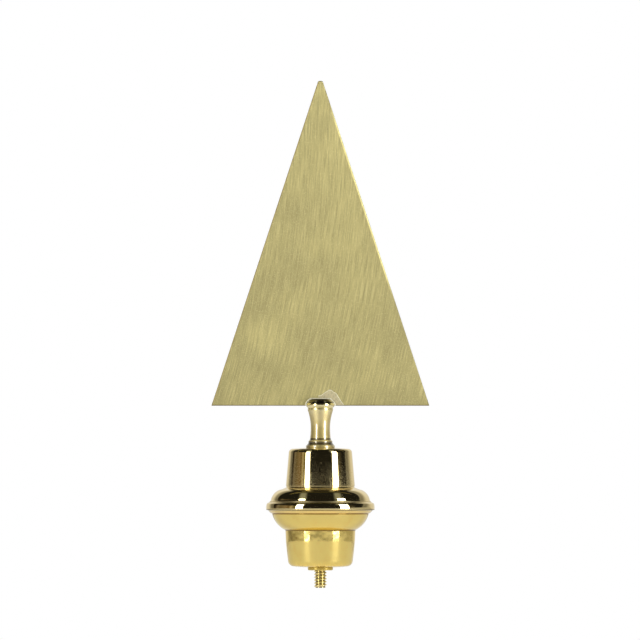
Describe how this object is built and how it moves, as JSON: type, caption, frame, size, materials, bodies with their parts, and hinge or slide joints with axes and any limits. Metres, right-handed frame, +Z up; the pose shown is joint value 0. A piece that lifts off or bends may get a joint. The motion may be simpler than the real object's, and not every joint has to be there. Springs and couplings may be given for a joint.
{
  "type": "flagpole finial",
  "caption": "Flagpole finial: a flat brushed brass triangle in a turned neck, on a spun brass base with a threaded stud below.",
  "frame": {"origin": "middle of the washer's underside, where the finial seats on the end of its pole, on the axis of the threaded stud", "axes": "+Z up along the axis to the tip of the plate, +X along the plate's width, +Y through the plate from its front to its back"},
  "size_m": [0.109, 0.0544, 0.2535],
  "materials": {
    "brushed_plate": "satin, brushed lengthwise",
    "turned_neck": "turned and polished",
    "polished_upper": "mirror polished",
    "polished_lower": "polished",
    "dull_washer": "dull, as cut",
    "cut_thread": "cut thread, bright"
  },
  "bodies": {
    "root": {"triangle_plate": "brushed_plate", "neck": "turned_neck", "upper_shell": "polished_upper", "lower_shell": "polished_lower", "washer": "dull_washer", "threaded_stud": "cut_thread"}
  },
  "joints": []
}
